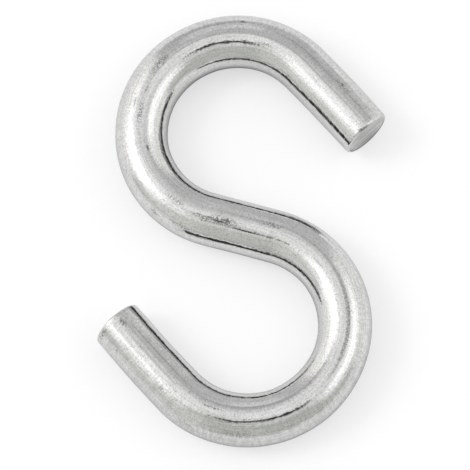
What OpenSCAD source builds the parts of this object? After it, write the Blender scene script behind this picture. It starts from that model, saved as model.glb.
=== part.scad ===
// S hook of round steel wire, lying flat.
//
// One wire runs through the whole hook: a cut end, a straight tip, a bend, the straight neck across
// the middle, then the other bend, tip and cut end. Both ends of the hook are the same, turned half
// way round. The bends are true arcs that run into the straights without a kink.
//
// The hook lies on z = 0, with the neck's midpoint over the origin and the centres of both bends on
// the Y axis.

/* [Wire] */
// Diameter of the round wire
wire_d = 6; // [3:0.1:12]
// Radius of the broken edge round each cut end
end_edge_r = 0.3; // [0.1:0.05:1]

/* [Bends] */
// Diameter of the round space inside each bend
bend_inside_d = 15.3; // [8:0.1:40]
// Angle that the wire turns through in each bend
bend_angle = 211.45; // [180:0.05:220]

/* [Straights] */
// Length of the straight neck between the two bends
neck_length = 7.85; // [2:0.05:30]
// Length of the straight tip beyond each bend, out to the cut face
tip_length = 10.4; // [4:0.1:30]

/* [Hidden] */
// Facets of a full turn
$fn = 96;

wire_r = wire_d / 2;
// Radius of the wire's centre line in a bend
bend_r = bend_inside_d / 2 + wire_r;
// Side of a block that reaches well past the outside of a bend
beyond_bend = 2 * (bend_r + wire_r);

// The wire is laid out with its neck along the Y axis. Turning the hook by the neck's lean then
// brings the centres of both bends onto the Y axis.
neck_lean = atan2(bend_r, neck_length / 2);

module neck() {
    rotate([90, 0, 0])
        cylinder(r = wire_r, h = neck_length, center = true);
}

// A bend about the Z axis. It starts on the -X side and turns clockwise until the wire crosses the
// X axis of its end frame, which is where bend_end() puts its children.
module bend() {
    difference() {
        rotate_extrude(start = -90, angle = 270)
            translate([bend_r, 0])
                circle(r = wire_r);
        // a block over all that lies beyond the end of the bend
        bend_end()
            translate([beyond_bend / 2, -beyond_bend / 2, 0])
                cube(beyond_bend, center = true);
    }
}

// Frame at the end of a bend: its centre is the bend's centre, and the wire leaves along -Y
module bend_end() {
    rotate(180 - bend_angle)
        children();
}

// Half of the section along the middle of a tip, from its bend out to the cut face
module tip_section() {
    square([wire_r, tip_length - end_edge_r]);
    square([wire_r - end_edge_r, tip_length]);
    translate([wire_r - end_edge_r, tip_length - end_edge_r])
        circle(r = end_edge_r);
}

// Straight wire from the origin along -Y, with the sharp edge of its cut end broken
module tip() {
    rotate([90, 0, 0])
        rotate_extrude()
            tip_section();
}

// All that follows the neck at one end of it
module bend_and_tip() {
    translate([bend_r, neck_length / 2]) {
        bend();
        bend_end()
            translate([bend_r, 0])
                tip();
    }
}

module hook() {
    color("silver")
        translate([0, 0, wire_r])
            rotate(neck_lean) {
                neck();
                for (half_turn = [0, 180])
                    rotate(half_turn)
                        bend_and_tip();
            }
}

hook();
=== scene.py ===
"""S hook bent from one length of bright steel wire, lying on a pale floor in a soft light tent."""
import math

import bpy
import numpy as np
from mathutils import Matrix, Vector, noise


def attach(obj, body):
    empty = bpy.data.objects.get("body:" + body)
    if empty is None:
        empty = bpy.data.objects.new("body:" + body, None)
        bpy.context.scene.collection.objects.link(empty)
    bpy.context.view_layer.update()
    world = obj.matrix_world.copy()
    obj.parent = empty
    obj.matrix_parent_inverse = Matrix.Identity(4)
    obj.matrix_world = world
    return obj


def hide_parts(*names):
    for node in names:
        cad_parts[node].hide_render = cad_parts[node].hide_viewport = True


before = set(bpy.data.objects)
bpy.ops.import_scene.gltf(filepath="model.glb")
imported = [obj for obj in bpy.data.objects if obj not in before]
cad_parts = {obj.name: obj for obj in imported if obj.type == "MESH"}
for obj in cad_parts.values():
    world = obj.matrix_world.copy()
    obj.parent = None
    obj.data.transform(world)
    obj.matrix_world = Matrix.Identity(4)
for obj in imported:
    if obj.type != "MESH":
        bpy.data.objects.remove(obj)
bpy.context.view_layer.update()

# ---------------------------------------------------------------- sizes
# The wire's sizes are in millimetres, as the hook's drawing gives them. MM turns them into metres.
MM = 0.001
# The drawing's radius is 3 mm. The fine mesh lies a hair inside it, within the drawing's own facets.
WIRE_R = 2.994
WIRE_MIDDLE_Z = 3.0
BEND_R = 10.65
BEND_ANGLE = math.radians(211.45)
NECK_HALF = 3.925
TIP_LENGTH = 10.4
HALF_LENGTH = NECK_HALF + BEND_R * BEND_ANGLE + TIP_LENGTH
# Over the last of its length each tip bends on by a hair towards the inside of the hook.
LAST_LENGTH = 6.0
BENT_ON = 0.14
# Heading of the wire where it passes the middle of the neck, on its way to the upper bend.
NECK_HEADING = math.radians(90) + math.atan2(BEND_R, NECK_HALF)


def linear(hex_colour):
    """An sRGB hex colour as the linear RGBA that Blender's nodes take."""
    channels = []
    for at in (1, 3, 5):
        value = int(hex_colour[at:at + 2], 16) / 255
        channels.append(value / 12.92 if value <= 0.04045 else ((value + 0.055) / 1.055) ** 2.4)
    return (*channels, 1.0)


def add(tree, kind, inputs=None, **settings):
    """Adds one node. Settings are its own properties. Inputs give a socket a value, or link it to an
    output or to the first output that a node has in use."""
    made = tree.nodes.new(kind)
    for name, value in settings.items():
        setattr(made, name, value)
    for socket, value in (inputs or {}).items():
        if isinstance(value, bpy.types.Node):
            value = next(output for output in value.outputs if not output.is_unavailable)
        if isinstance(value, bpy.types.NodeSocket):
            tree.links.new(value, made.inputs[socket])
        else:
            made.inputs[socket].default_value = value
    return made


def new_material(name):
    """An empty material and its node tree."""
    made = bpy.data.materials.new(name)
    made.use_nodes = True
    made.node_tree.nodes.clear()
    return made, made.node_tree


# ---------------------------------------------------------------- the wire's run
def towards_cut(along):
    """Share of a tip's last bending, from 0 where it begins to 1 at the cut end."""
    return (max(abs(along) - HALF_LENGTH + LAST_LENGTH, 0.0) / LAST_LENGTH) ** 1.5


def run_at(along):
    """Place and heading of the wire's centre line, along mm from the middle of the neck.
    The lower half, at negative values, is the upper half turned half way round."""
    s = abs(along)
    x = min(s, NECK_HALF) * math.cos(NECK_HEADING)
    y = min(s, NECK_HALF) * math.sin(NECK_HEADING)
    turned = min(max(s - NECK_HALF, 0.0) / BEND_R, BEND_ANGLE)
    heading = NECK_HEADING - turned
    # the centre of the bend lies to the right of the neck's end
    x += BEND_R * (math.sin(NECK_HEADING) - math.sin(heading))
    y += BEND_R * (math.cos(heading) - math.cos(NECK_HEADING))
    straight = max(s - NECK_HALF - BEND_R * BEND_ANGLE, 0.0)
    aside = BENT_ON * towards_cut(along)
    x += straight * math.cos(heading) + aside * math.sin(heading)
    y += straight * math.sin(heading) - aside * math.cos(heading)
    side = 1 if along >= 0 else -1
    return side * x, side * y, heading


# ---------------------------------------------------------------- mesh of the hook
RING_STEP = 0.15
# Columns of the skin stand closer together over the top of the wire than underneath.
TOP_COLUMNS = 86
UNDER_COLUMNS = 34
TOP_SPREAD = math.radians(200)
# The rolled edge round a cut end is tightest over the top and under the bottom.
SIDE_EDGE_R = 0.31
TOP_EDGE_R = 0.19
# The shear leaves it uneven by this share.
EDGE_UNEVEN = 0.25
EDGE_STEPS = 7
FACE_RINGS = 14
# The shear's thin lip along the upper rim of each cut face: its height in mm, and where it stands and
# how far it spreads, as angles from the top.
LIP_HEIGHT = 0.10
UPPER_LIP_AT = math.radians(14)
LOWER_LIP_AT = math.radians(-8)
LIP_SPREAD = math.radians(26)
# Depths in a cut face, in mm: the ridges that lie across it and the dish of the whole face.
RIDGE_DEPTH = 0.02
DISH_DEPTH = 0.03

# How far the skin stands back from a true round, in mm: long waves from drawing and bending, short
# ripples from tumbling, and shallow flats that the die has drawn along the wire.
WAVE_LENGTH = 6.5
WAVE_DEPTH = 0.12
RIPPLE_LENGTH = 1.6
RIPPLE_DEPTH = 0.02
FLAT_WIDTH = 0.8
FLAT_LENGTH = 10.0
FLAT_DEPTH = 0.03
# The noise swings about zero. This share of each depth brings most of it below the true round, and
# what would still stand proud is smoothed down to it within this depth.
LIE_BACK = 0.12
SMOOTHED = 0.012
# The tools have squeezed each end narrower on the outside of the hook, by this much at the cut.
SQUEEZED = 0.07

# Each mark in the skin gives its place along the wire and its angle from the top (mm, degrees), half
# its length and half its width (mm), and how dark it looks, from 0 to 1. Knocks are deep enough for
# the mesh, and their last number is that depth (mm).
KNOCKS = (
    (35.2, 30, 0.34, 0.13, 0.9, 0.030),
    (-50.7, -47, 0.20, 0.12, 0.3, 0.020),
    (-52.5, 9, 0.34, 0.22, 0.1, 0.040),
    (-49.0, 0, 0.20, 0.12, 0.6, 0.014),
    (53.5, -14, 0.14, 0.20, 0.6, 0.040),
)
SCRATCHES_AND_LIP_SHADOW = (
    (-1.0, 19, 2.00, 0.09, 1.0),
    (-3.8, 19, 0.40, 0.10, 0.8),
    (-4.9, 19, 0.30, 0.10, 0.7),
    (-5.9, 19, 0.40, 0.10, 0.6),
    (2.3, 13, 0.90, 0.13, 0.9),
    (1.4, 8, 0.50, 0.12, 0.8),
    (3.4, 10, 0.50, 0.12, 0.7),
    (4.6, 10, 0.40, 0.10, 0.6),
    (14.8, -13, 0.35, 0.13, 0.8),
    (20.2, 16, 0.60, 0.12, 0.5),
    (22.0, 1, 0.60, 0.12, 0.4),
    (-10.4, 10, 0.80, 0.10, 0.3),
    (-32.9, -16, 1.60, 0.10, 0.3),
    (48.1, 26, 0.30, 0.12, 0.6),
    # This last one is no scratch. It is painted shadow: a dark stroke along the rim of the upper cut
    # end, under the shear's lip.
    (53.66, -8, 0.10, 0.75, 0.7),
)
# Faint lines that the bending dies have pressed in along the wire, near the top of it.
DIE_SEAMS = (
    (37.0, 2, 15.0, 0.16, 0.24),
    (46.5, 20, 6.5, 0.14, 0.26),
    (30.0, 29, 8.0, 0.14, 0.14),
    (-16.3, -10, 9.0, 0.18, 0.30),
    (-11.5, 28, 3.5, 0.14, 0.15),
    (-29.0, 14, 10.0, 0.16, 0.28),
    (-46.5, 20, 5.0, 0.16, 0.24),
    (-47.0, 1, 4.0, 0.16, 0.28),
    (-38.0, -21, 10.0, 0.15, 0.18),
)
# Rubbed places, which show as a crowd of small dark specks.
RUBBED_PATCHES = (
    (1.8, 10, 1.5, 0.50, 0.8),
    (4.2, 12, 1.4, 0.25, 0.6),
    (6.2, 50, 0.9, 0.35, 0.4),
    (7.7, 5, 1.2, 0.25, 0.5),
    (8.8, 59, 0.5, 0.30, 0.5),
    (19.2, 0, 1.2, 0.30, 0.6),
    (25.2, 8, 1.4, 0.45, 0.6),
    (38.4, -14, 0.9, 0.14, 0.6),
    (48.0, 24, 1.0, 0.30, 0.5),
    (-3.5, -9, 1.5, 0.30, 0.6),
    (-7.6, -47, 0.6, 0.30, 0.4),
    (-18.6, -10, 6.0, 0.26, 0.6),
    (-35.3, -45, 1.4, 0.30, 0.3),
    (-38.4, 2, 1.6, 0.14, 0.7),
    (-40.2, -57, 0.9, 0.35, 0.3),
    (-43.9, -29, 0.5, 0.22, 0.5),
    (-52.4, 8, 0.5, 0.35, 0.7),
    (-53.1, -48, 0.3, 0.90, 0.5),
)


def columns():
    """Angles round the wire, from the top towards the left."""
    over = [TOP_SPREAD * (k / TOP_COLUMNS - 0.5) for k in range(TOP_COLUMNS)]
    rest = 2 * math.pi - TOP_SPREAD
    under = [TOP_SPREAD / 2 + rest * k / UNDER_COLUMNS for k in range(UNDER_COLUMNS)]
    return over + under


COLUMNS = columns()


def on_straight_wire(along, phi, radius=WIRE_R):
    """A point of the skin as it would lie on the wire before bending, in mm."""
    return Vector((radius * math.sin(phi), radius * math.cos(phi), along))


def stand_back(along, phi):
    """Depth of the skin below a true round, in mm. It is never negative, so that the hook stays
    within its drawn size."""
    place = on_straight_wire(along, phi)
    flat = Vector((place.x / FLAT_WIDTH, place.y / FLAT_WIDTH, place.z / FLAT_LENGTH))
    depth = WAVE_DEPTH * (LIE_BACK + 0.5 * noise.noise(place / WAVE_LENGTH))
    depth += RIPPLE_DEPTH * (LIE_BACK + 0.5 * noise.noise(place / RIPPLE_LENGTH))
    depth += FLAT_DEPTH * (LIE_BACK + 0.5 * noise.noise(flat))
    depth = (depth + math.hypot(depth, SMOOTHED)) / 2
    for at, angle, half_length, half_width, _, deep in KNOCKS:
        if abs(along - at) < 2 * half_length:
            turned = phi - math.radians(angle)
            across = WIRE_R * math.atan2(math.sin(turned), math.cos(turned))
            depth += deep * math.exp(-((along - at) / half_length) ** 2 - (across / half_width) ** 2)
    outside = max(math.sin(phi) * math.copysign(1, along), 0.0)
    return depth + SQUEEZED * towards_cut(along) * outside ** 2


def edge_radius(end, phi):
    """Radius of the rolled edge round a cut end, in mm."""
    even = TOP_EDGE_R + (SIDE_EDGE_R - TOP_EDGE_R) * math.sin(phi) ** 2
    # The unevenness changes over a millimetre or so of the rim.
    uneven = noise.noise(Vector((math.sin(phi), math.cos(phi), end)) * 3.1)
    return even * (1 + EDGE_UNEVEN * uneven * math.cos(phi) ** 2)


def lip(end, phi):
    """How far the shear's thin lip stands out along the upper rim of a cut face, in mm."""
    middle = UPPER_LIP_AT if end > 0 else LOWER_LIP_AT
    reach = math.exp(-((phi - middle) / LIP_SPREAD) ** 2)
    # Its height changes over half a millimetre or so.
    return LIP_HEIGHT * reach * (0.6 + 0.4 * noise.noise(Vector((phi * 6, end, 0.5))))


def face_depth(phi, share):
    """Depth of a cut face, in mm, at a share of the way from its middle to its rim."""
    across = share * math.sin(phi)
    down = share * math.cos(phi)
    # ridges 0.6 mm apart and a few millimetres long
    ridge = noise.noise(Vector((across * 1.1, down * 5.0, 4.2)))
    return RIDGE_DEPTH * (0.5 + 0.5 * ridge) * (1 - share ** 8) + DISH_DEPTH * (1 - share ** 2)


def ring(along_at, radius_at):
    """One ring of the skin, from functions of the angle that give place along and radius."""
    points = []
    for phi in COLUMNS:
        along = along_at(phi)
        radius = radius_at(phi)
        x, y, heading = run_at(along)
        left = Vector((-math.sin(heading), math.cos(heading), 0))
        out = left * math.sin(phi) + Vector((0, 0, math.cos(phi)))
        point = Vector((x, y, WIRE_MIDDLE_Z)) + out * radius
        points.append((point, tuple(on_straight_wire(along, phi, radius))))
    return points


def end_rings(end):
    """Rings of the rolled edge and the sheared face, from the wire's side to the face's middle.
    End is 1 for the upper cut end and -1 for the lower one."""
    rings = []
    for step in range(EDGE_STEPS + 1):
        turn = math.radians(90) * step / EDGE_STEPS

        def along_at(phi, turn=turn):
            short = edge_radius(end, phi) * (1 - math.sin(turn))
            return end * (HALF_LENGTH - short + lip(end, phi) * math.sin(turn) ** 4)

        def radius_at(phi, turn=turn):
            rolled = edge_radius(end, phi) * (1 - math.cos(turn))
            return WIRE_R - stand_back(end * HALF_LENGTH, phi) - rolled

        rings.append(ring(along_at, radius_at))
    for step in range(1, FACE_RINGS):
        share = 1 - step / FACE_RINGS

        def along_at(phi, share=share):
            return end * (HALF_LENGTH + lip(end, phi) * share ** 12 - face_depth(phi, share))

        def radius_at(phi, share=share):
            rim = WIRE_R - stand_back(end * HALF_LENGTH, phi) - edge_radius(end, phi)
            return share * rim

        rings.append(ring(along_at, radius_at))
    return rings


def make_hook():
    """The hook as one closed skin: rings from the lower cut end to the upper one, closed by a fan of
    triangles in the middle of each cut face."""
    # The plain rings stop just short of the rolled edges.
    barrel_end = HALF_LENGTH - 1.3 * SIDE_EDGE_R
    count = int(2 * barrel_end / RING_STEP)
    rings = list(reversed(end_rings(-1)))
    for i in range(count + 1):
        along = -barrel_end + 2 * barrel_end * i / count
        rings.append(ring(lambda phi: along, lambda phi: WIRE_R - stand_back(along, phi)))
    rings += end_rings(1)
    around = len(COLUMNS)
    points = [point for made in rings for point in made]
    faces = []
    for i in range(len(rings) - 1):
        for k in range(around):
            a = i * around + k
            b = i * around + (k + 1) % around
            faces.append((a, a + around, b + around, b))
    for end, first in ((-1, 0), (1, (len(rings) - 1) * around)):
        middle = len(points)
        sunk = end * (HALF_LENGTH - face_depth(0, 0))
        x, y, _ = run_at(sunk)
        points.append((Vector((x, y, WIRE_MIDDLE_Z)), (0.0, 0.0, sunk)))
        for k in range(around):
            a = first + k
            b = first + (k + 1) % around
            faces.append((a, b, middle) if end < 0 else (b, a, middle))
    mesh = bpy.data.meshes.new("s_hook")
    mesh.from_pydata([point * MM for point, _ in points], [], faces)
    mesh.validate()
    mesh.polygons.foreach_set("use_smooth", [True] * len(mesh.polygons))
    # The cut faces take the second material. Their triangles come last in the list.
    face_quads = (FACE_RINGS - 1) * around
    cut = [0] * len(faces)
    cut[:face_quads] = [1] * face_quads
    cut[-face_quads - 2 * around:] = [1] * (face_quads + 2 * around)
    mesh.polygons.foreach_set("material_index", cut)
    place = mesh.attributes.new("straight_wire", "FLOAT_VECTOR", "POINT")
    place.data.foreach_set("vector", np.array([at for _, at in points], np.float32).ravel())
    mesh.update()
    piece = bpy.data.objects.new("s_hook", mesh)
    bpy.context.scene.collection.objects.link(piece)
    return piece


# ---------------------------------------------------------------- finishes
# Heights of the fine patterns, in mm.
GRAIN_HEIGHT = 0.0018
DENT_HEIGHT = 0.010
DIE_LINE_HEIGHT = 0.005
CROSS_LINE_HEIGHT = 0.004
MARK_DEPTH = 0.010
FINE_RIDGE_HEIGHT = 0.010
FACE_GRAIN_HEIGHT = 0.0025


def skin_marks_and_lip_shadow(tree, place):
    """How deep in a knock, scratch, seam or rubbed patch, or in the painted shadow under the upper cut
    end's lip, a place is, from 0 to 1.
    """
    # A noise 0.14 mm across moves the place by up to 0.15 mm, which makes the edges of marks ragged.
    ragged = add(tree, "ShaderNodeTexNoise", {"Vector": place, "Scale": 1 / 0.14, "Detail": 2.0})
    ragged = add(tree, "ShaderNodeVectorMath", {0: ragged.outputs["Color"], 1: (0.5, 0.5, 0.5)},
                 operation="SUBTRACT")
    strayed = add(tree, "ShaderNodeVectorMath", {0: ragged, 1: (0.16, 0.16, 0.3), 2: place},
                  operation="MULTIPLY_ADD")
    # A rub breaks up into specks 0.17 mm across.
    specks = add(tree, "ShaderNodeTexNoise", {"Vector": place, "Scale": 1 / 0.17, "Detail": 2.0})
    specks = add(tree, "ShaderNodeMapRange", {"Value": specks, "From Min": 0.45, "From Max": 0.55})
    marked_or_shaded = 0.0
    for marks, pattern in ((KNOCKS + SCRATCHES_AND_LIP_SHADOW + DIE_SEAMS, 1.0), (RUBBED_PATCHES, specks)):
        deepest = 0.0
        for along, angle, half_length, half_width, darkness, *_ in marks:
            middle = on_straight_wire(along, math.radians(angle))
            spread = (1 / half_width, 1 / half_width, 1 / half_length)
            off = add(tree, "ShaderNodeVectorMath", {0: strayed, 1: middle}, operation="SUBTRACT")
            off = add(tree, "ShaderNodeVectorMath", {0: off, 1: spread}, operation="MULTIPLY")
            off = add(tree, "ShaderNodeVectorMath", {0: off}, operation="LENGTH").outputs["Value"]
            here = add(tree, "ShaderNodeMapRange", {
                "Value": off, "From Min": 0.5, "From Max": 1.4, "To Min": darkness, "To Max": 0.0},
                interpolation_type="SMOOTHSTEP")
            deepest = add(tree, "ShaderNodeMath", {0: deepest, 1: here}, operation="MAXIMUM")
        deepest = add(tree, "ShaderNodeMath", {0: deepest, 1: pattern}, operation="MULTIPLY")
        marked_or_shaded = add(tree, "ShaderNodeMath", {0: marked_or_shaded, 1: deepest}, operation="MAXIMUM")
    return marked_or_shaded


def tumbled_steel_wire():
    """Stainless steel wire, drawn through a die, bent and then tumbled bright. The eye sees soft
    reflections of the tent, broken by fine grain, faint die lines, a few dark marks and a painted shadow
    along the rim of the upper cut end, under its lip."""
    made, tree = new_material("tumbled_steel_wire")
    place = add(tree, "ShaderNodeAttribute", attribute_name="straight_wire").outputs["Vector"]
    marked_or_shaded = skin_marks_and_lip_shadow(tree, place)

    # Tumbling media of about 3 mm leave shallow dents near 0.35 mm across, which make the edges of
    # dark reflections ragged, and a finer grain of 0.2 mm, two pixels of a render.
    dents = add(tree, "ShaderNodeTexNoise", {"Vector": place, "Scale": 1 / 0.35, "Detail": 0.0})
    grain = add(tree, "ShaderNodeTexNoise", {
        "Vector": place, "Scale": 1 / 0.2, "Detail": 3.0, "Roughness": 0.7})
    # Die lines are some 0.05 mm apart, too fine to show, and are drawn 0.2 mm apart and 6 mm long.
    along_lines = add(tree, "ShaderNodeVectorMath", {0: place, 1: (1 / 0.2, 1 / 0.2, 1 / 6)},
                      operation="MULTIPLY")
    die_lines = add(tree, "ShaderNodeTexNoise", {"Vector": along_lines, "Scale": 1.0, "Detail": 2.0})
    # Stretching on the outside of a bend opens fine cross lines, drawn 0.25 mm apart. The outside is
    # at the left on the upper half of the wire and at the right on the lower half.
    across_lines = add(tree, "ShaderNodeVectorMath", {0: place, 1: (1 / 1.2, 1 / 1.2, 1 / 0.25)},
                       operation="MULTIPLY")
    cross_lines = add(tree, "ShaderNodeTexNoise", {"Vector": across_lines, "Scale": 1.0, "Detail": 1.0})
    where = add(tree, "ShaderNodeSeparateXYZ", {0: place}).outputs
    outward = add(tree, "ShaderNodeMath", {0: where["X"], 1: where["Z"]}, operation="MULTIPLY")
    stretched = add(tree, "ShaderNodeMapRange", {"Value": outward, "From Min": 0.0, "From Max": 60.0})
    opened = add(tree, "ShaderNodeMath", {0: stretched, 1: -0.09, 2: 0.98}, operation="MULTIPLY_ADD")
    # Pits of 0.03 mm are left where the skin was not tumbled away. They are drawn 0.13 mm across.
    pits = add(tree, "ShaderNodeTexNoise", {"Vector": place, "Scale": 1 / 0.13, "Detail": 1.0})
    # Patches a few millimetres long where the tumbling has left the drawn skin duller.
    patches = add(tree, "ShaderNodeTexNoise", {"Vector": place, "Scale": 1 / 3.5, "Detail": 4.0})

    # Each pattern darkens the steel: its range, and how bright the steel is at either end of it.
    tone = add(tree, "ShaderNodeMix", {
        "Factor": patches, "A": linear("#E3E3E3"), "B": linear("#D6D6D5")}, data_type="RGBA")
    for pattern, first, last, bright_first, bright_last in (
            (grain, 0.32, 0.58, 0.82, 1.05),
            (die_lines, 0.35, 0.60, 0.90, 1.03),
            (cross_lines, 0.38, 0.60, opened, 1.012),
            (pits, 0.58, 0.68, 1.0, 0.72)):
        bright = add(tree, "ShaderNodeMapRange", {
            "Value": pattern, "From Min": first, "From Max": last,
            "To Min": bright_first, "To Max": bright_last})
        tone = add(tree, "ShaderNodeVectorMath", {0: tone, 1: bright}, operation="MULTIPLY")
    # Marks darken the steel towards this grey, and the painted shadow under the upper cut end's lip does
    # the same.
    colour = add(tree, "ShaderNodeMix", {
        "Factor": marked_or_shaded, "A": tone, "B": linear("#383838")}, data_type="RGBA")

    rough = add(tree, "ShaderNodeMapRange", {
        "Value": patches, "From Min": 0.35, "From Max": 0.65, "To Min": 0.05, "To Max": 0.13})
    rough = add(tree, "ShaderNodeMath", {0: marked_or_shaded, 1: 0.25, 2: rough}, operation="MULTIPLY_ADD")

    height = 0.0
    for pattern, raised in (
            (grain, GRAIN_HEIGHT), (dents, DENT_HEIGHT), (die_lines, DIE_LINE_HEIGHT),
            (cross_lines, CROSS_LINE_HEIGHT), (marked_or_shaded, -MARK_DEPTH)):
        height = add(tree, "ShaderNodeMath", {0: pattern, 1: raised, 2: height},
                     operation="MULTIPLY_ADD")
    skin = add(tree, "ShaderNodeBump", {"Height": height, "Distance": MM, "Strength": 1.0})
    shader = add(tree, "ShaderNodeBsdfPrincipled", {
        "Base Color": colour, "Metallic": 1.0, "Specular Tint": linear("#F2F2F2"),
        "Roughness": rough, "Normal": skin})
    add(tree, "ShaderNodeOutputMaterial", {"Surface": shader})
    return made


def sheared_steel_end():
    """The cut end of the wire, sheared from the top and left as cut. The eye sees a dull grey face with
    ridges across it, with painted shade darkening its lower rim, the part nearest the floor."""
    made, tree = new_material("sheared_steel_end")
    place = add(tree, "ShaderNodeAttribute", attribute_name="straight_wire").outputs["Vector"]
    # Shear ridges are about 0.1 mm apart. They are drawn 0.5 mm apart, to show on the slanting face,
    # and 2.5 mm long. The grain is 0.2 mm, as on the skin.
    ridges = add(tree, "ShaderNodeVectorMath", {0: place, 1: (1 / 2.5, 1 / 0.5, 1.0)},
                 operation="MULTIPLY")
    ridges = add(tree, "ShaderNodeTexNoise", {"Vector": ridges, "Scale": 1.0, "Detail": 3.0})
    ridge_tone = add(tree, "ShaderNodeMapRange", {"Value": ridges, "From Min": 0.35, "From Max": 0.6})
    grain = add(tree, "ShaderNodeTexNoise", {"Vector": place, "Scale": 1 / 0.2, "Detail": 3.0})
    # The painted shade takes in the outer half millimetre of the lower half of the face, nearest the
    # floor.
    up = add(tree, "ShaderNodeSeparateXYZ", {0: place}).outputs["Y"]
    below = add(tree, "ShaderNodeMapRange", {
        "Value": up, "From Min": -1.0, "From Max": 0.8, "To Min": 1.0, "To Max": 0.0},
        interpolation_type="SMOOTHSTEP")
    flat = add(tree, "ShaderNodeVectorMath", {0: place, 1: (1.0, 1.0, 0.0)}, operation="MULTIPLY")
    from_middle = add(tree, "ShaderNodeVectorMath", {0: flat}, operation="LENGTH").outputs["Value"]
    painted_shade_rim = add(tree, "ShaderNodeMapRange", {
        "Value": from_middle, "From Min": 2.30, "From Max": 2.65, "To Min": 0.0, "To Max": below},
        interpolation_type="SMOOTHSTEP")
    tone = add(tree, "ShaderNodeMix", {
        "Factor": ridge_tone, "A": linear("#BEBEBC"), "B": linear("#DEDEDC")}, data_type="RGBA")
    speckle = add(tree, "ShaderNodeMapRange", {
        "Value": grain, "From Min": 0.35, "From Max": 0.65, "To Min": 0.84, "To Max": 1.08})
    tone = add(tree, "ShaderNodeVectorMath", {0: tone, 1: speckle}, operation="MULTIPLY")
    # Painted shade: the lower rim of the face goes to this dark grey.
    tone = add(tree, "ShaderNodeMix", {
        "Factor": painted_shade_rim, "A": tone, "B": linear("#6C6C6A")}, data_type="RGBA")
    height = add(tree, "ShaderNodeMath", {0: ridges, 1: FINE_RIDGE_HEIGHT}, operation="MULTIPLY")
    height = add(tree, "ShaderNodeMath", {0: grain, 1: FACE_GRAIN_HEIGHT, 2: height},
                 operation="MULTIPLY_ADD")
    skin = add(tree, "ShaderNodeBump", {"Height": height, "Distance": MM, "Strength": 1.0})
    shader = add(tree, "ShaderNodeBsdfPrincipled", {
        "Base Color": tone, "Metallic": 1.0, "Roughness": 0.32, "Normal": skin})
    add(tree, "ShaderNodeOutputMaterial", {"Surface": shader})
    return made


# How far the floor is lifted to plain white where it is seen.
FLOOR_LIFT = 0.56
# The gap under the wire is dark where the metal mirrors it: the reach (mm) within which the wire shuts
# out the light, the open share of the sky below which it is dark, mirrored once and twice, and the
# shares of light that are left there and in the open.
GAP_REACH = 10.0
OPEN_ONCE = 0.15
OPEN_TWICE = 0.88
GAP_LIGHT = 0.06
OPEN_LIGHT = 0.97
# In front of the hook the board lies in the shade of the dark cloth there, between these places (mm).
# This share of the light is left.
SHADE_BEGINS = -14.0
SHADE_ENDS = -30.0
SHADE_LIGHT = 0.80


def pale_floor():
    """Matt white board. Where it is looked at, straight or in the metal, it is lifted part of the way
    to plain white, which keeps the hook's shadow light. In the metal the gap under the wire is dark."""
    made, tree = new_material("matt_white_board")
    path = add(tree, "ShaderNodeLightPath").outputs
    twice = add(tree, "ShaderNodeMath", {0: path["Glossy Depth"], 1: 1.5}, operation="GREATER_THAN")
    open_sky = add(tree, "ShaderNodeAmbientOcclusion", {"Distance": GAP_REACH * MM}, samples=8)
    shut = add(tree, "ShaderNodeMix", {"Factor": twice, "A": OPEN_ONCE, "B": OPEN_TWICE})
    out_of_gap = add(tree, "ShaderNodeMapRange", {
        "Value": open_sky.outputs["AO"], "From Min": shut, "From Max": 1.0,
        "To Min": GAP_LIGHT, "To Max": OPEN_LIGHT}, interpolation_type="SMOOTHSTEP")
    place = add(tree, "ShaderNodeTexCoord").outputs["Object"]
    forward = add(tree, "ShaderNodeSeparateXYZ", {0: place}).outputs["Y"]
    shade = add(tree, "ShaderNodeMapRange", {
        "Value": forward, "From Min": SHADE_ENDS * MM, "From Max": SHADE_BEGINS * MM,
        "To Min": SHADE_LIGHT}, interpolation_type="SMOOTHSTEP")
    out_of_gap = add(tree, "ShaderNodeMath", {0: out_of_gap, 1: shade}, operation="MULTIPLY")
    clear = add(tree, "ShaderNodeMix", {"Factor": path["Is Glossy Ray"], "A": 1.0, "B": out_of_gap})
    white = add(tree, "ShaderNodeVectorMath", {0: linear("#FBFBFC")[:3], 1: clear}, operation="MULTIPLY")
    board = add(tree, "ShaderNodeBsdfDiffuse", {"Color": white, "Roughness": 0.0})
    plain_white = add(tree, "ShaderNodeEmission", {"Color": linear("#FFFFFF"), "Strength": 1.0})
    seen = add(tree, "ShaderNodeMath", {0: path["Is Camera Ray"], 1: path["Is Glossy Ray"]})
    seen = add(tree, "ShaderNodeMath", {0: seen, 1: path["Is Transmission Ray"]}, use_clamp=True)
    lift = add(tree, "ShaderNodeMath", {0: seen, 1: FLOOR_LIFT}, operation="MULTIPLY")
    lift = add(tree, "ShaderNodeMath", {0: lift, 1: clear}, operation="MULTIPLY")
    shader = add(tree, "ShaderNodeMixShader", {"Fac": lift, 1: board, 2: plain_white})
    add(tree, "ShaderNodeOutputMaterial", {"Surface": shader})
    return made


hook = make_hook()
hook.data.materials.append(tumbled_steel_wire())
hook.data.materials.append(sheared_steel_end())
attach(hook, "root")
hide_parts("hook")

# Half the width of the floor, in metres.
FLOOR_HALF = 4.0
floor_mesh = bpy.data.meshes.new("floor")
floor_mesh.from_pydata([(-FLOOR_HALF, -FLOOR_HALF, 0), (FLOOR_HALF, -FLOOR_HALF, 0),
                        (FLOOR_HALF, FLOOR_HALF, 0), (-FLOOR_HALF, FLOOR_HALF, 0)], [], [(0, 1, 2, 3)])
floor = bpy.data.objects.new("floor", floor_mesh)
floor_mesh.materials.append(pale_floor())
bpy.context.scene.collection.objects.link(floor)

# ---------------------------------------------------------------- light tent
world = bpy.data.worlds.new("light_tent")
world.use_nodes = True
bpy.context.scene.world = world
tent = world.node_tree
tent.nodes.clear()
# In a world, this output is the direction that is looked along.
looked_along = add(tent, "ShaderNodeTexCoord").outputs["Generated"]


def lit(level, tint):
    """The light of a cloth or lamp of this tint, as linear RGBA. Level 1 is plain white."""
    red, green, blue, _ = linear(tint)
    return (red * level, green * level, blue * level, 1.0)


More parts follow.
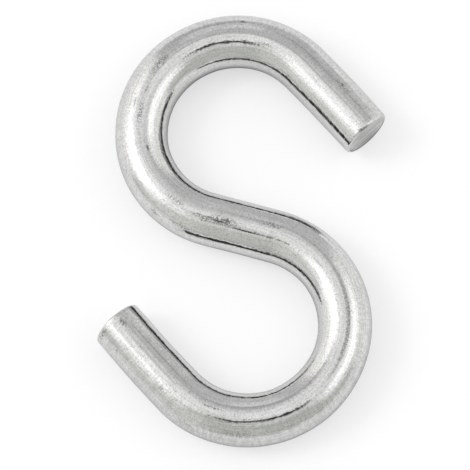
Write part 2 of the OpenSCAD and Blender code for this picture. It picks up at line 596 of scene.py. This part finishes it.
def hang(light, azimuth, elevation, size, soft, level, tint="#FFFFFF"):
    """Hangs one flat cloth or lamp in the tent, in front of what is there, and returns the light by
    direction. The angles are in degrees, and azimuth is counted from +X towards +Y. Size is half the
    width and height, and soft is how wide the sides and the top and bottom fade, all as seen from 1
    away."""
    az = math.radians(azimuth)
    el = math.radians(elevation)
    ahead = (math.cos(az) * math.cos(el), math.sin(az) * math.cos(el), math.sin(el))
    across = (-math.sin(az), math.cos(az), 0.0)
    upward = (-math.cos(az) * math.sin(el), -math.sin(az) * math.sin(el), math.cos(el))
    depth = add(tent, "ShaderNodeVectorMath", {0: looked_along, 1: ahead}, operation="DOT_PRODUCT")
    depth = add(tent, "ShaderNodeMath", {0: depth.outputs["Value"], 1: 0.001}, operation="MAXIMUM")
    cover = 1.0
    for axis, half, fade in ((across, size[0], soft[0]), (upward, size[1], soft[1])):
        off = add(tent, "ShaderNodeVectorMath", {0: looked_along, 1: axis}, operation="DOT_PRODUCT")
        off = add(tent, "ShaderNodeMath", {0: off.outputs["Value"], 1: depth}, operation="DIVIDE")
        off = add(tent, "ShaderNodeMath", {0: off}, operation="ABSOLUTE")
        edge = add(tent, "ShaderNodeMapRange", {
            "Value": off, "From Min": half - fade / 2, "From Max": half + fade / 2,
            "To Min": 1.0, "To Max": 0.0}, interpolation_type="SMOOTHSTEP")
        cover = add(tent, "ShaderNodeMath", {0: cover, 1: edge}, operation="MULTIPLY")
    return add(tent, "ShaderNodeMix", {"Factor": cover, "A": light, "B": lit(level, tint)},
               data_type="RGBA")


# grey cloth all round, without its trace of yellow behind
light = lit(0.63, "#FDFFF9")
light = hang(light, 90, 0, (1.20, 4.00), (0.50, 4.00), 0.63)
# the open top, with white cloth over it
light = hang(light, -93, 85, (0.41, 0.55), (0.55, 0.62), 1.00, "#FFFFFE")
# white cloth at the left, lit from outside, and greyer cloth at the left in front
light = hang(light, 154, 0, (0.60, 1.15), (0.30, 0.60), 1.12, "#FFFEFB")
light = hang(light, 212, 0, (0.43, 4.00), (0.50, 4.00), 0.80, "#FEFEF9")
# white cloth at the right
light = hang(light, 17, 0, (0.68, 1.35), (0.35, 0.78), 0.99, "#FFFFFC")
# a small bright cloth high behind
light = hang(light, 95, 34, (0.20, 0.22), (0.20, 0.34), 0.83)
# The lamp high at the left has a bright middle. The dull metal blurs it away where it is mirrored twice.
light = hang(light, 168, 47, (0.41, 0.38), (0.70, 0.70), 1.70)
once = light
light = hang(light, 168, 47, (0.14, 0.14), (0.27, 0.27), 9.3)
mirrored = add(tent, "ShaderNodeLightPath").outputs["Glossy Depth"]
twice = add(tent, "ShaderNodeMath", {0: mirrored, 1: 1.5}, operation="GREATER_THAN")
light = add(tent, "ShaderNodeMix", {"Factor": twice, "A": light, "B": once}, data_type="RGBA")
# the weaker lamp high at the right
light = hang(light, -2, 45, (0.47, 0.27), (0.70, 0.55), 1.58)
# the slot in the cloth that the camera looks through
light = hang(light, -90, 72, (0.26, 0.09), (0.16, 0.08), 0.05)
# At the foot of the tent the cloth sweeps into the floor, from this height as seen from 1 away. At
# the floor it hides this share of what hangs there.
SWEEP_HEIGHT = 0.10
SWEEP_COVER = 0.6
height = add(tent, "ShaderNodeSeparateXYZ", {0: looked_along}).outputs["Z"]
foot = add(tent, "ShaderNodeMapRange", {
    "Value": height, "From Min": 0.0, "From Max": SWEEP_HEIGHT, "To Min": SWEEP_COVER, "To Max": 0.0},
    interpolation_type="SMOOTHSTEP")
light = add(tent, "ShaderNodeMix", {"Factor": foot, "A": light, "B": lit(0.90, "#FFFFFC")},
            data_type="RGBA")
background = add(tent, "ShaderNodeBackground", {"Color": light, "Strength": 1.0})
add(tent, "ShaderNodeOutputWorld", {"Surface": background})

# ---------------------------------------------------------------- camera
# A long lens from almost overhead: the lens and the frame in pixels, the turns, and where it aims and
# from how far (mm).
FRAME_PIXELS = 470
FOCAL_PIXELS = 3475.69
CAMERA_TURN = math.radians(10.7244)
CAMERA_TILT = math.radians(16.5)
CAMERA_ROLL = math.radians(-15.0)
CAMERA_DISTANCE = 387.544
CAMERA_AIM = (-0.8516, -0.7327, WIRE_MIDDLE_Z)
camera_data = bpy.data.cameras.new("camera")
camera_data.sensor_width = 36.0
camera_data.lens = FOCAL_PIXELS / FRAME_PIXELS * camera_data.sensor_width
camera = bpy.data.objects.new("camera", camera_data)
turn = (Matrix.Rotation(CAMERA_TURN, 4, "Z") @ Matrix.Rotation(CAMERA_TILT, 4, "X")
        @ Matrix.Rotation(CAMERA_ROLL, 4, "Z"))
eye = Vector(CAMERA_AIM) + turn @ Vector((0, 0, CAMERA_DISTANCE))
camera.matrix_world = Matrix.Translation(eye * MM) @ turn
camera_data.clip_start = 0.01
camera_data.clip_end = 20.0
bpy.context.scene.collection.objects.link(camera)
bpy.context.scene.camera = camera
bpy.context.scene.view_settings.view_transform = "Standard"
